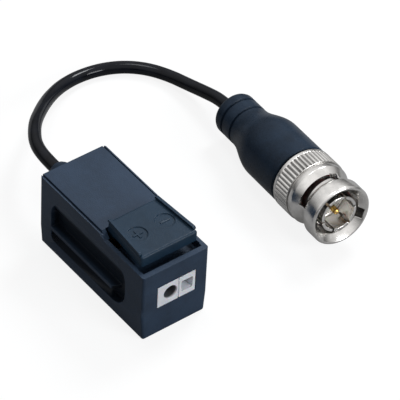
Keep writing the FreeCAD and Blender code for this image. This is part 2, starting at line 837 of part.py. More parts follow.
def cable_tail():
    """The cable's fixed end: jacket through the gland, then the conductor down to the board."""
    axis = V(0, 1, 0)
    radius = conductor_diameter / 2
    jacket = Part.makeCylinder(cable_diameter / 2, rear_y + gland_length - jacket_end_y,
                               V(0, jacket_end_y, gland_height), axis)
    across = Part.makeCylinder(radius, conductor_reach, V(0, conductor_y, gland_height), axis)
    down = Part.makeCylinder(radius, gland_height - board_bottom, V(0, conductor_y, board_bottom))
    elbow = Part.makeSphere(radius, V(0, conductor_y, gland_height))
    return jacket.fuse(across).fuse(down).fuse(elbow).removeSplitter()


def along_plug(station):
    """A point on the plug's axis, a given station behind the nut's front face."""
    return plug_placement().multVec(V(0, 0, -station))


def cable_route():
    """Points of the pigtail: out of the gland, down to the table, round and up into the boot."""
    return [V(0, rear_y + gland_length, gland_height),
            V(0, 27.0, gland_height),
            V(1.2, 31.8, 11.0),
            V(3.77, 35.95, 10.0),
            V(6.7, 39.63, 8.6),
            V(10.04, 42.93, 6.9),
            V(13.64, 46.23, 5.1),
            V(17.64, 49.23, 3.5),
            V(22.14, 51.53, 2.3),
            V(27.24, 52.53, 1.6),
            V(32.44, 51.83, cable_low),
            V(37.14, 49.63, cable_low),
            V(40.84, 46.13, cable_low),
            V(43.24, 41.53, 1.6),
            V(44.24, 36.23, 2.4),
            V(44.74, 30.93, 3.8),
            along_plug(boot_end + cable_lead),
            along_plug(boot_end)]


def coax_cable():
    """The free pigtail between the gland and the boot."""
    points = cable_route()
    path, radii = rounded_path(points)
    section = Part.Wire(Part.makeCircle(cable_diameter / 2, points[0], points[1].sub(points[0])))
    cable = path.makePipeShell([section], True, False)
    expected = math.pi * (cable_diameter / 2) ** 2 * path.Length
    print("cable bend radii", [round(radius, 1) for radius in radii])
    print("cable length", round(path.Length, 1), "volume ratio", round(cable.Volume / expected, 4))
    return cable


def nut_profile():
    """Outline of the coupling nut: bevelled mouth, flange, waist, collar, knurl and stepped bore."""
    shoulder_bore = body_radius + running_clearance
    recess = retaining_radius + retaining_room
    band = knurl_radius - ring_groove_depth
    return [(nut_bore_radius, mouth_depth), (mouth_radius, 0), (nut_flange_radius - nut_edge, 0),
            (nut_flange_radius, nut_edge), (nut_flange_radius, nut_flange_length),
            (nut_waist_radius, nut_waist_start),
            (nut_waist_radius, nut_waist_end), (nut_collar_radius, nut_collar_front),
            (nut_collar_radius, nut_collar_end), (band, nut_collar_end), (band, knurl_start),
            (knurl_radius, knurl_start), (knurl_radius, nut_length - nut_edge),
            (knurl_radius - nut_edge, nut_length), (recess, nut_length),
            (recess, shoulder_end), (shoulder_bore, shoulder_end), (shoulder_bore, shoulder_station),
            (nut_bore_radius, shoulder_station)]


def knurl_cutter(index):
    """One straight V groove of the knurled band."""
    half = knurl_share * math.pi * knurl_radius / knurl_count
    lift = knurl_depth / 4
    rim, floor = knurl_radius + lift, knurl_radius - knurl_depth
    points = [V(rim, -half, 0), V(rim, half, 0), V(floor, 0, 0)]
    tool = prism(points, V(0, 0, knurl_start - nut_length + rear_rim_length))
    tool.translate(V(0, 0, -knurl_start))
    tool.rotate(V(0, 0, 0), V(0, 0, 1), index * 360 / knurl_count)
    return tool


def cam_tools(turn):
    """What one bayonet track is cut with: entry channel from the mouth, helical cam and the lug's seat."""
    inner = nut_bore_radius - cam_overcut
    half = cam_width / 2
    deep = cam_radius + cam_step
    limit = Part.makeCylinder(deep, nut_length, V(0, 0, cut_past - nut_length))
    entry = block(inner, deep + cut_past, -half, half, -cam_start - half, cut_past).common(limit)
    entry.rotate(V(0, 0, 0), V(0, 0, 1), cam_entry_angle)
    rise = cam_end - cam_start
    helix = Part.makeHelix(rise * 360 / (cam_entry_angle - cam_seat_angle), rise, nut_bore_radius)
    outline = [V(inner, 0, -half), V(cam_radius, 0, -half), V(cam_radius, 0, half), V(inner, 0, half)]
    cam = helix.makePipeShell([Part.makePolygon(outline + [outline[0]])], True, True)
    cam.rotate(V(0, 0, 0), V(0, 0, 1), cam_seat_angle)
    cam.translate(V(0, 0, -cam_end))
    seat = Part.makeCylinder(half, deep, V(inner, 0, -cam_seat_station), V(1, 0, 0)).common(limit)
    seat.rotate(V(0, 0, 0), V(0, 0, 1), cam_seat_angle)
    tools = [entry, cam, seat]
    for tool in tools:
        tool.rotate(V(0, 0, 0), V(0, 0, 1), turn)
    return tools


def coupling_nut():
    """Bayonet coupling nut with two cam tracks that break through at the waist."""
    nut = turned(nut_profile())
    for tool in cam_tools(0) + cam_tools(180):
        nut = nut.cut(tool)
    return nut.cut([knurl_cutter(index) for index in range(knurl_count)])


def thrust_ring():
    """Washer between the wave spring and the nut's shoulder."""
    return tube(body_flange_radius, body_radius + running_clearance, thrust_station, thrust_ring_thickness)


def wave_washer():
    """Spring washer bent in waves, filling the room between the body's flange and the thrust ring."""
    amplitude = (spring_room - wave_thickness) / 2 - part_gap
    middle = body_flange_end + spring_room / 2 + wave_thickness / 2
    rings = []
    for radius in (body_radius + running_clearance, body_flange_radius - running_clearance):
        points = []
        for step in range(wave_steps):
            angle = 2 * math.pi * step / wave_steps
            points.append(V(radius * math.cos(angle), radius * math.sin(angle),
                            amplitude * math.cos(wave_count * angle) - middle))
        curve = Part.BSplineCurve()
        curve.interpolate(Points=points, PeriodicFlag=True)
        rings.append(Part.Wire(curve.toShape()))
    return Part.makeRuledSurface(rings[0], rings[1]).extrude(V(0, 0, wave_thickness))


def plug_body():
    """Turned body: spigot, flange behind the gasket, tube with a ring groove and crimp stem."""
    bore = insulator_radius + part_gap
    step_station = insulator_end + part_gap
    groove_end = shoulder_end + retaining_thickness
    groove_radius = body_radius - retaining_groove
    stem_end = stem_station + stem_length
    return turned([(bore, spigot_station), (spigot_radius, spigot_station),
                   (spigot_radius, body_flange_station), (body_flange_radius, body_flange_station),
                   (body_flange_radius, body_flange_end), (body_radius, body_flange_end),
                   (body_radius, shoulder_end), (groove_radius, shoulder_end), (groove_radius, groove_end),
                   (body_radius, groove_end), (body_radius, stem_station), (stem_radius, stem_station),
                   (stem_radius, stem_end), (cable_bore, stem_end), (cable_bore, step_station),
                   (bore, step_station)])


def retaining_ring():
    """Split ring in the body's groove that keeps the nut on."""
    ring = tube(retaining_radius, body_radius - retaining_groove + part_gap, retaining_station,
                retaining_thickness - 2 * part_gap)
    split = retaining_split / 2
    return ring.cut(block(0, retaining_radius + cut_past, -split, split, -retaining_station - cut_past,
                          cut_past - retaining_station))


def outer_contact():
    """Slotted collet that makes the shield's contact."""
    end = body_flange_station - part_gap
    inner = spigot_radius + part_gap
    tip, edge = contact_tip_station, contact_edge
    collet = turned([(inner + edge, tip), (contact_outer_radius - edge, tip),
                     (contact_outer_radius, tip + edge), (contact_outer_radius, gasket_station),
                     (contact_foot_radius, gasket_station), (contact_foot_radius, end),
                     (inner, end), (inner, tip + edge)])
    half = contact_slit_width / 2
    for index in range(contact_slit_count):
        slit = block(0, contact_outer_radius + cut_past, -half, half, -tip - contact_slit_length, cut_past)
        slit.rotate(V(0, 0, 0), V(0, 0, 1), contact_slit_angle + index * 360 / contact_slit_count)
        collet = collet.cut(slit)
    return collet


def insulator():
    """Plastic insulator that carries the centre pin."""
    return tube(insulator_radius, center_pin_radius + center_pin_shoulder + part_gap, insulator_station,
                insulator_length)


def center_pin():
    """Gold-plated pin with a round nose and a thicker shank in the insulator."""
    shank = center_pin_radius + center_pin_shoulder
    pin = turned([(0, center_pin_station), (center_pin_radius, center_pin_station),
                  (center_pin_radius, insulator_station), (shank, insulator_station), (shank, insulator_end),
                  (0, insulator_end)])
    return blend_rings(pin, [(center_pin_radius, center_pin_station, center_pin_nose)])


def front_gasket():
    """Silicone ring at the foot of the collet."""
    return tube(body_flange_radius, contact_foot_radius + part_gap, gasket_station, gasket_length)


def crimp_ferrule():
    """Ferrule over the body's stem and the cable's braid."""
    return tube(body_radius, stem_radius + braid_gap, stem_station + part_gap, ferrule_length)


def plug_boot():
    """Moulded boot: barrel, S-curved shoulder, neck with two ring grooves and a round end."""
    outer = boot_skin()
    for place in reversed(boot_groove_places):
        middle = boot_end - place
        half = boot_groove_width / 2
        floor = boot_neck_radius - boot_groove_depth
        outer += [(boot_neck_radius, middle - half), (floor, middle - half / 2), (floor, middle + half / 2),
                  (boot_neck_radius, middle + half)]
    bore = body_radius + part_gap
    half_round = boot_end_radius * (1 - math.sqrt(0.5))
    end = [(boot_neck_radius, boot_end - boot_end_radius),
           (boot_neck_radius - half_round, boot_end - half_round),
           (boot_neck_radius - boot_end_radius, boot_end)]
    inner = [(cable_bore, boot_end), (cable_bore, ferrule_end + part_gap), (bore, ferrule_end + part_gap),
             (bore, boot_start)]
    return turned(outer + end + inner)


def boot_cable_tail():
    """The cable's other fixed end, inside the boot."""
    start = insulator_end + 2 * part_gap
    return Part.makeCylinder(cable_diameter / 2, boot_end - start, V(0, 0, -boot_end))


def main():
    """Make every sub-part in its place."""
    box_pieces = {"housing_base": housing_base, "housing_cover": housing_cover, "press_lever": press_lever,
                  "lever_pin": lever_pin, "terminal_block": terminal_block, "circuit_board": circuit_board,
                  "transformer_core": transformer_core, "transformer_winding": transformer_winding,
                  "cable_gland": cable_gland, "cable_tail": cable_tail, "coax_cable": coax_cable}
    plug_pieces = {"plug_boot": plug_boot, "boot_cable_tail": boot_cable_tail, "crimp_ferrule": crimp_ferrule,
                   "plug_body": plug_body, "retaining_ring": retaining_ring, "thrust_ring": thrust_ring,
                   "wave_washer": wave_washer, "coupling_nut": coupling_nut, "front_gasket": front_gasket,
                   "outer_contact": outer_contact, "insulator": insulator, "center_pin": center_pin}
    for name, make in box_pieces.items():
        save(name, make())
    for side, x in zip(("left", "right"), pole_xs):
        save("clamp_spring_" + side, clamp_spring(x))
        save("contact_bar_" + side, contact_bar(x))
    save("surge_diode", chip(-1))
    save("tuning_resistor", chip(1))
    for name, make in plug_pieces.items():
        save(name, placed(make()))
    print("plug height", round(plug_height(), 3), "cable meets the boot at", along_plug(boot_end))


main()
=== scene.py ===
import bmesh
import bpy
import json
import math
from bpy.props import FloatProperty, FloatVectorProperty, IntProperty, PointerProperty
from mathutils import Matrix, Vector


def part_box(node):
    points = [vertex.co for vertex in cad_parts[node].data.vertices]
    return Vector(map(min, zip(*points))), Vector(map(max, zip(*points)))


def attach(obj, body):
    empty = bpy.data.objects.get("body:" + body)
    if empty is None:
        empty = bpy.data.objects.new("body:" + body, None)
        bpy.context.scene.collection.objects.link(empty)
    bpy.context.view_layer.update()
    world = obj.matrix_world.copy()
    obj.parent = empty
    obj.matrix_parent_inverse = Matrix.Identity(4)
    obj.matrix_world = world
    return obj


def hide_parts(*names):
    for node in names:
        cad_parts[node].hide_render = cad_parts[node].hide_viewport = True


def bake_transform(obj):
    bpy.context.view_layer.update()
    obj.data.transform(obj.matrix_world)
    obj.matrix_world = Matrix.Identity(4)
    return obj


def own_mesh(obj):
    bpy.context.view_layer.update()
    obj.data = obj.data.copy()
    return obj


bl_info = {
    "name": "Video balun",
    "version": (1, 0, 0),
    "blender": (4, 5, 0),
    "location": "3D View > Sidebar > Balun",
    "description": "Terminal box with a press lever, a coax pigtail and a bayonet plug",
    "category": "Object",
}

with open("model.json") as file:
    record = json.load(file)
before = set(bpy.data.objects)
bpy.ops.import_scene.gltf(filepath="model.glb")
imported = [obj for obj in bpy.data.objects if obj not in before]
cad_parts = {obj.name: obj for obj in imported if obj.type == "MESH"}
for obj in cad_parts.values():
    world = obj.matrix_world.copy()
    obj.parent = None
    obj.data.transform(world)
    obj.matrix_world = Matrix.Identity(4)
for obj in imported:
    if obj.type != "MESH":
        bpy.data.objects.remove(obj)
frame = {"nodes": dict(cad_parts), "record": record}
MM = 0.001
SHARP = math.radians(34)   # a finished piece is smooth over edges that turn less than this
SORTING = Vector((1.0, 31.7, 977.3))   # a direction in which hardly any two corners are level
CABLE_BORE = 1.42          # radius of the hole that holds the cable, in millimetres
CABLE_EXIT = (0, 0.0229, 0.0116)
BOOT_END = 40.98           # where the boot ends, in millimetres behind the nut's front face


def plug_frame():
    """The plug's own axis: +Z out of its mouth, with the nut's front face at zero."""
    mount = next(m for m in frame["record"]["mounts"] if m["name"] == "shield_contact")
    out = Vector(mount["axis"]).normalized()
    front = Vector(mount["pos_m"]) + out * 4.5 * MM
    lean = math.radians(90) - math.asin(out.z)
    turn = Matrix.Rotation(math.atan2(out.x, -out.y), 4, "Z") @ Matrix.Rotation(lean, 4, "X")
    return Matrix.Translation(front) @ turn


PLUG = plug_frame()


def length_setting(name, description, millimetres):
    """A length that a user may change, in metres, given here in millimetres."""
    return FloatProperty(name=name, description=description, default=millimetres * MM, unit="LENGTH", precision=5)


def colour_setting(name, description, colour):
    """A colour that a user may change."""
    return FloatVectorProperty(name=name, description=description, default=colour, subtype="COLOR", size=3,
                               min=0.0, max=1.0)


class BalunBoxSettings(bpy.types.PropertyGroup):
    """Sizes and colours of the terminal box."""
    shell_colour: colour_setting("Shell", "Colour of the moulded shells", (0.022, 0.039, 0.069))
    lever_colour: colour_setting("Lever", "Colour of the press lever", (0.011, 0.028, 0.051))
    terminal_colour: colour_setting("Terminal", "Colour of the wire terminal", (0.84, 0.86, 0.91))
    edge: length_setting("Edge", "Width of the shells' broken edges", 0.14)
    grain: length_setting("Grain", "Size of the spark-eroded grain on the shells", 0.16)


class BalunCableSettings(bpy.types.PropertyGroup):
    """Sizes and colours of the pigtail and its moulded ends."""
    diameter: length_setting("Diameter", "Outside diameter of the coax cable", 2.8)
    jacket_colour: colour_setting("Jacket", "Colour of the cable's jacket", (0.004, 0.005, 0.008))
    boot_colour: colour_setting("Boot", "Colour of the plug's boot and of the strain relief", (0.013, 0.024, 0.042))


class BalunPlugSettings(bpy.types.PropertyGroup):
    """Sizes and colours of the bayonet plug."""
    knurl_radius: length_setting("Knurl radius", "Radius over the coupling nut's knurl", 7.15)
    knurl_count: IntProperty(name="Knurls", description="Number of grooves round the nut", default=48, min=12)
    knurl_depth: length_setting("Knurl depth", "Depth of the knurl's grooves", 0.32)
    nickel_colour: colour_setting("Nickel", "Colour of the plated metal", (0.76, 0.742, 0.72))
    gold_colour: colour_setting("Gold", "Colour of the centre pin", (0.80, 0.52, 0.16))
    gasket_colour: colour_setting("Gasket", "Colour of the silicone ring", (0.22, 0.012, 0.012))


class BalunStageSettings(bpy.types.PropertyGroup):
    """Camera, lights and floor."""
    azimuth: FloatProperty(name="Azimuth", description="Camera's turn round the object", default=math.radians(-39.48),
                           unit="ROTATION")
    elevation: FloatProperty(name="Elevation", description="Camera's height angle", default=math.radians(43.27),
                             unit="ROTATION")
    roll: FloatProperty(name="Roll", description="Camera's roll", default=math.radians(3.22), unit="ROTATION")
    distance: length_setting("Distance", "Camera's distance from its target", 660.3)
    target: FloatVectorProperty(name="Target", description="Point that the camera looks at",
                                default=(0.02613, 0.00836, 0.0), subtype="TRANSLATION", unit="LENGTH")
    lens: FloatProperty(name="Lens", description="Focal length on a 36 mm sensor", default=288.4)
    floor_colour: colour_setting("Floor", "Colour of the floor", (0.92, 0.92, 0.93))
    bounce: FloatProperty(name="Bounce", description="Share of its colour that the floor throws back on the object",
                          default=0.22, min=0.0, max=1.0)


class Value:
    """One output socket of a node graph. Arithmetic on it adds the graph's Math nodes."""

    def __init__(self, graph, socket):
        self.graph = graph
        self.socket = socket

    def math(self, operation, first, second=0.0):
        """One Math node."""
        return self.graph.node("ShaderNodeMath", {"operation": operation}, {0: first, 1: second})

    def __add__(self, other):
        return self.math("ADD", self, other)

    def __sub__(self, other):
        return self.math("SUBTRACT", self, other)

    def __mul__(self, other):
        return self.math("MULTIPLY", self, other)

    def __radd__(self, other):
        return self.math("ADD", other, self)

    def __rsub__(self, other):
        return self.math("SUBTRACT", other, self)

    def __rmul__(self, other):
        return self.math("MULTIPLY", other, self)

    def most(self, other):
        """The larger of this value and another."""
        return self.math("MAXIMUM", self, other)

    def root(self):
        """The square root of this value."""
        return self.math("SQRT", self)

    def band(self, low, high):
        """0 below low, 1 above high and smooth between them; the other way round if low is above high."""
        settings = {"interpolation_type": "SMOOTHSTEP"}
        if low < high:
            return self.graph.node("ShaderNodeMapRange", settings, {0: self, 1: low, 2: high, 3: 0.0, 4: 1.0})
        return self.graph.node("ShaderNodeMapRange", settings, {0: self, 1: high, 2: low, 3: 1.0, 4: 0.0})


class Graph:
    """The nodes of a material or of the world in the making."""

    def __init__(self, tree):
        self.tree = tree

    def feed(self, socket, value):
        """Links a value to a socket, or sets the socket to a number, a colour or a vector."""
        if isinstance(value, Value):
            self.tree.links.new(value.socket, socket)
        elif hasattr(value, "__len__") and len(value) == 3 and socket.type == "RGBA":
            socket.default_value = (*value, 1.0)
        else:
            socket.default_value = value

    def node(self, kind, settings=None, inputs=None, output=0):
        """Adds a node: its settings first, then the values or links of its sockets."""
        made = self.tree.nodes.new(kind)
        for name, value in (settings or {}).items():
            setattr(made, name, value)
        for name, value in (inputs or {}).items():
            self.feed(made.inputs[name], value)
        return Value(self, made.outputs[output])

    def axes(self, vector):
        """The three numbers of a vector."""
        parts = self.tree.nodes.new("ShaderNodeSeparateXYZ")
        self.feed(parts.inputs[0], vector)
        return [Value(self, socket) for socket in parts.outputs]

    def ray(self, kind):
        """1 for light rays of one kind, such as Camera, and 0 for the rest."""
        return self.node("ShaderNodeLightPath", output="Is " + kind + " Ray")

    def choose(self, switch, otherwise, chosen):
        """One level where the switch is 0, and another where it is 1."""
        return self.node("ShaderNodeMix", {"data_type": "FLOAT"}, {0: switch, 2: otherwise, 3: chosen})

    def mix(self, factor, first, second):
        """A mix of two colours."""
        return self.node("ShaderNodeMix", {"data_type": "RGBA"}, {0: factor, 6: first, 7: second}, 2)


class Finish(Graph):
    """A procedural material in the making."""

    def __init__(self, name, **constants):
        self.material = bpy.data.materials.new(name)
        self.material.use_nodes = True
        super().__init__(self.material.node_tree)
        self.shader = self.tree.nodes["Principled BSDF"]
        self.set(**constants)

    def set(self, **sockets):
        """Feeds the shader's sockets, named with underscores in place of spaces."""
        for name, value in sockets.items():
            self.feed(self.shader.inputs[name.replace("_", " ")], value)

    def place(self, frame_matrix=None):
        """Object coordinates in millimetres, in the row frame or in a given frame."""
        here = self.node("ShaderNodeTexCoord", output="Object")
        if frame_matrix is None:
            return self.node("ShaderNodeVectorMath", {"operation": "SCALE"}, {0: here, "Scale": 1000.0})
        back = frame_matrix.inverted()
        return self.node("ShaderNodeMapping", {"vector_type": "POINT"},
                         {"Vector": here, "Location": back.translation * 1000.0, "Rotation": back.to_euler(),
                          "Scale": (1000.0, 1000.0, 1000.0)})

    def noise(self, vector, size, detail=2.0, roughness=0.5, stretch=None):
        """Noise from 0 to 1 with marks of a given size in millimetres, stretched along the axes if asked."""
        if stretch is not None:
            vector = self.node("ShaderNodeVectorMath", {"operation": "MULTIPLY"}, {0: vector, 1: stretch})
        return self.node("ShaderNodeTexNoise", {},
                         {"Vector": vector, "Scale": 1.0 / size, "Detail": detail, "Roughness": roughness})

    def pits(self, vector, size):
        """Distance to the nearest of many scattered points, for leather-like or spark-eroded grain."""
        return self.node("ShaderNodeTexVoronoi", {"feature": "F1"}, {"Vector": vector, "Scale": 1.0 / size})

    def bump(self, *layers):
        """Bumps on top of each other, each a (height from 0 to 1, depth in millimetres) pair."""
        normal = None
        for height, depth in layers:
            inputs = {"Strength": 1.0, "Distance": depth * MM, "Height": height}
            if normal is not None:
                inputs["Normal"] = normal
            normal = self.node("ShaderNodeBump", {}, inputs)
        self.set(Normal=normal)


def shade(colour, factor):
    """A colour made lighter or darker."""
    return tuple(min(1.0, part * factor) for part in colour)


def moulded_plastic(name, colour, grain, gloss=0.46, shaded_recess=None):
    """Dark moulded ABS: spark-eroded grain, faint flow marks, and painted shade darkening a recess where asked."""
    finish = Finish(name, IOR=1.46, Specular_IOR_Level=0.2)
    here = finish.place()
    flow = finish.noise(here, 7.0, 3.0, 0.55, (1.0, 0.35, 1.0))
    mottle = finish.noise(here, 1.1, 4.0, 0.6)
    grit = finish.noise(here, grain, 2.0, 0.6)
    pits = finish.pits(here, grain * 1.7)
    scuffs = finish.noise(here, 0.35, 3.0, 0.7, (0.12, 1.0, 1.0)).band(0.66, 0.76)
    tone = finish.mix(flow.band(0.3, 0.7), shade(colour, 0.86), shade(colour, 1.16))
    tone = finish.mix(mottle.band(0.35, 0.75) * 0.35, tone, shade(colour, 1.35))
    tone = finish.mix(scuffs * 0.18, tone, shade(colour, 2.2))
    if shaded_recess is not None:
        wall, start, end, low, ledge, high = shaded_recess
        across, along, up = finish.axes(here)
        shaded_slot = across.band(wall + 0.1, wall + 0.3) * up.band(ledge, ledge - 0.1)
        shaded_inside = shaded_slot.most(across.band(wall + 0.15, wall + 1.3)) * across.band(wall + 2.6, wall + 2.4)
        shaded_inside = shaded_inside * along.band(start - 0.1, start) * along.band(end + 0.1, end)
        shaded_inside = shaded_inside * up.band(low - 0.1, low) * up.band(high + 0.1, high)
        # painted shade: the pocket's inside and the slot under its ledge are darkened nearly to black
        tone = finish.mix(shaded_inside * 0.85, tone, shade(colour, 0.12))
    finish.set(Base_Color=tone, Roughness=gloss + (mottle - 0.5) * 0.16 + (grit - 0.5) * 0.14 - scuffs * 0.06)
    finish.bump((mottle, 0.012), (pits, 0.016), (grit, 0.012))
    return finish.material


def terminal_plastic(name, colour, x, z, radius, front):
    """White nylon with fine flow marks, its openings greyed with painted shade and the round one, centred on x and z,
    darkened deep inside with painted shade.
    """
    finish = Finish(name, IOR=1.5, Subsurface_Weight=0.12, Subsurface_Scale=0.0004)
    here = finish.place()
    across, along, up = finish.axes(here)
    flow = finish.noise(here, 2.2, 3.0, 0.5)
    grit = finish.noise(here, 0.13, 2.0, 0.6)
    off = ((across - x) * (across - x) + (up - z) * (up - z)).root()
    deep = (along - front).band(0.15, 1.4)
    shaded_inside = off.band(radius + 0.3, radius + 0.15)
    tone = finish.mix(flow.band(0.3, 0.7), shade(colour, 0.93), colour)
    # painted shade: faces set back from the front face are greyed
    tone = finish.mix(deep * 0.2, tone, (0.52, 0.54, 0.58))
    # painted shade: the round hole's walls are darkened nearly to black
    shaded_hole = (along - front).band(-0.05, 0.5) * shaded_inside
    tone = finish.mix(shaded_hole, tone, (0.085, 0.088, 0.10))
    finish.set(Base_Color=tone, Roughness=0.38 + (grit - 0.5) * 0.2)
    finish.bump((flow, 0.01), (grit, 0.006))
    return finish.material


def cable_jacket(name, colour):
    """Glossy black PVC with faint draw marks and dust."""
    finish = Finish(name, IOR=1.5, Specular_IOR_Level=0.17)
    here = finish.place()
    wave = finish.noise(here, 2.6, 2.0, 0.5)
    fine = finish.noise(here, 0.22, 3.0, 0.6)
    dust = finish.noise(here, 0.09, 2.0, 0.5).band(0.7, 0.78)
    tone = finish.mix(wave.band(0.3, 0.7), shade(colour, 0.8), shade(colour, 1.5))
    tone = finish.mix(dust * 0.25, tone, (0.05, 0.055, 0.065))
    finish.set(Base_Color=tone, Roughness=0.07 + wave * 0.03 + (fine - 0.5) * 0.04 + dust * 0.2)
    finish.bump((wave, 0.02), (fine, 0.004))
    return finish.material


def moulded_rubber(name, colour, gloss=0.29):
    """Soft moulded PVC: satin skin with a very fine grain and slight sink marks."""
    finish = Finish(name, IOR=1.5, Specular_IOR_Level=0.13)
    here = finish.place()
    sink = finish.noise(here, 5.0, 2.0, 0.5)
    skin = finish.noise(here, 0.5, 4.0, 0.65)
    grit = finish.noise(here, 0.1, 2.0, 0.6)
    tone = finish.mix(sink.band(0.3, 0.7), shade(colour, 0.8), shade(colour, 1.25))
    tone = finish.mix(skin.band(0.5, 0.75) * 0.4, tone, shade(colour, 1.7))
    finish.set(Base_Color=tone, Roughness=gloss + (skin - 0.5) * 0.14 + (grit - 0.5) * 0.1)
    finish.bump((sink, 0.05), (skin, 0.01), (grit, 0.005))
    return finish.material


def plated_metal(name, colour, gloss=0.2, groove_shade=None, bare=None):
    """Plate over turned brass: fine lathe rings, wiping marks and, where asked, painted shade in hollows or a bare
    rear part.
    """
    finish = Finish(name, Metallic=1.0)
    here = finish.place(PLUG)
    across, up, along = finish.axes(here)
    radius = (across * across + up * up).root()
    rings = finish.node("ShaderNodeTexNoise", {"noise_dimensions": "1D"},
                        {"W": along + radius * 0.8, "Scale": 9.0, "Detail": 3.0, "Roughness": 0.7})
    cloud = finish.noise(here, 2.4, 3.0, 0.55)
    wipes = finish.noise(here, 0.5, 3.0, 0.65, (1.0, 1.0, 0.25))
    spots = finish.noise(here, 0.16, 2.0, 0.5).band(0.7, 0.8)
    tone = finish.mix(cloud.band(0.3, 0.7), shade(colour, 0.88), shade(colour, 1.08))
    tone = finish.mix(spots * 0.35, tone, shade(colour, 0.55))
    if bare is not None:
        station, metal = bare
        tone = finish.mix(along.band(-station + 0.3, -station - 0.3), tone, metal)
    rough = gloss + (cloud - 0.5) * 0.1 + (wipes - 0.5) * 0.1 + spots * 0.15
    if groove_shade is not None:
        dark_radius, clear_radius, start, end = groove_shade   # two radii, then two stations
        # painted shade: darker and rougher between the two radii and the two stations
        painted_hollow_shade = radius.band(clear_radius, dark_radius) * along.band(-end - 0.1, -end) * along.band(-start + 0.1, -start)
        tone = finish.mix(painted_hollow_shade * 0.85, tone, shade(colour, 0.12))
        rough = rough + painted_hollow_shade * 0.25
    finish.set(Base_Color=tone, Roughness=rough)
    finish.bump((rings, 0.004), (wipes, 0.003))
    return finish.material


def soft_silicone(name, colour):
    """Dull red silicone with a dusty bloom."""
    finish = Finish(name, IOR=1.43)
    here = finish.place()
    bloom = finish.noise(here, 0.6, 4.0, 0.6)
    tone = finish.mix(bloom.band(0.4, 0.75) * 0.5, colour, shade(colour, 2.0))
    finish.set(Base_Color=tone, Roughness=0.42 + bloom * 0.2)
    finish.bump((bloom, 0.02))
    return finish.material


def white_dielectric(name):
    """Waxy white insulator with turning marks."""
    finish = Finish(name, IOR=1.38, Subsurface_Weight=0.15, Subsurface_Scale=0.0004)
    here = finish.place(PLUG)
    marks = finish.noise(here, 0.3, 3.0, 0.6, (1.0, 1.0, 3.0))
    tone = finish.mix(marks.band(0.3, 0.7), (0.62, 0.60, 0.55), (0.74, 0.72, 0.67))
    finish.set(Base_Color=tone, Roughness=0.4 + marks * 0.15)
    finish.bump((marks, 0.008))
    return finish.material


def spring_steel(name, colour=(0.50, 0.50, 0.52)):
    """Rolled steel with long fine scratches."""
    finish = Finish(name, Metallic=1.0)
    here = finish.place()
    scratches = finish.noise(here, 0.12, 3.0, 0.7, (1.0, 0.12, 1.0))
    heat = finish.noise(here, 1.5, 2.0, 0.5)
    tone = finish.mix(heat.band(0.3, 0.7), shade(colour, 0.85), shade(colour, 1.1))
    finish.set(Base_Color=tone, Roughness=0.24 + scratches * 0.2)
    finish.bump((scratches, 0.004))
    return finish.material


def board_laminate(name):
    """Green solder mask over copper tracks, with the glass cloth showing at the cut edges."""
    finish = Finish(name, IOR=1.5)
    here = finish.place()
    up = finish.axes(here)[2]
    weave = finish.node("ShaderNodeTexWave", {"wave_type": "BANDS", "bands_direction": "DIAGONAL"},
                        {"Vector": here, "Scale": 1.6, "Distortion": 0.6})
    tracks = finish.pits(finish.node("ShaderNodeVectorMath", {"operation": "MULTIPLY"},
                                     {0: here, 1: (1.0, 0.4, 0.0)}), 2.4).band(0.5, 0.42)
    face = up.band(4.42, 4.46)
    tone = finish.mix(tracks * 0.6, (0.010, 0.085, 0.030), (0.025, 0.16, 0.05))
    tone = finish.mix(weave * 0.15, tone, (0.05, 0.2, 0.09))
    tone = finish.mix(up.band(4.5, 4.45) * face, tone, (0.35, 0.30, 0.16))
    finish.set(Base_Color=tone, Roughness=0.3 + weave * 0.12)
    finish.bump((tracks, 0.03), (weave, 0.004))
    return finish.material


def sintered_ferrite(name):
    """Dark, gritty ferrite."""
    finish = Finish(name, IOR=1.6)
    here = finish.place()
    grit = finish.noise(here, 0.1, 4.0, 0.7)
    tone = finish.mix(grit.band(0.3, 0.75), (0.018, 0.018, 0.020), (0.06, 0.06, 0.065))
    finish.set(Base_Color=tone, Roughness=0.62 + (grit - 0.5) * 0.2)
    finish.bump((grit, 0.03))
    return finish.material


def enamelled_wire(name):
    """Red-brown enamel over copper wire, with the turns as fine ribs."""
    finish = Finish(name, Metallic=0.75, Coat_Roughness=0.12)
    here = finish.place()
    strands = finish.noise(here, 0.3, 1.0, 0.5, (1.0, 1.0, 0.05))
    tone = finish.mix(strands.band(0.35, 0.65), (0.30, 0.08, 0.025), (0.62, 0.24, 0.08))
    finish.set(Base_Color=tone, Roughness=0.26 + strands * 0.15, Coat_Weight=0.4 + strands * 0.2)
    finish.bump((strands, 0.08))
    return finish.material


def chip_body(name, ends, middle):
    """Small moulded part on the board with tinned ends."""
    finish = Finish(name, IOR=1.5)
    here = finish.place()
    along = finish.axes(here)[1]
    grit = finish.noise(here, 0.08, 3.0, 0.6)
    tin = along.band(ends[1] - 0.5, ends[1] - 0.45) + along.band(ends[0] + 0.5, ends[0] + 0.45)
    tone = finish.mix(tin, finish.mix(grit, shade(middle, 0.8), shade(middle, 1.3)), (0.60, 0.60, 0.62))
    finish.set(Base_Color=tone, Roughness=0.45 - tin * 0.15 + (grit - 0.5) * 0.1, Metallic=tin * 0.9)
    finish.bump((grit, 0.01))
    return finish.material


def put_down(name, shape):
    """Makes a shape a new object, its corners, edges and faces in an order that is the same in every run."""
    shape.verts.sort(key=lambda corner: corner.co.dot(SORTING))
    shape.edges.sort(key=lambda edge: (edge.verts[0].co + edge.verts[1].co).dot(SORTING))
    shape.faces.sort(key=lambda face: face.calc_center_median().dot(SORTING))
    mesh = bpy.data.meshes.new(name)
    shape.to_mesh(mesh)
    shape.free()
    made = bpy.data.objects.new(name, mesh)
    bpy.context.scene.collection.objects.link(made)
    return made


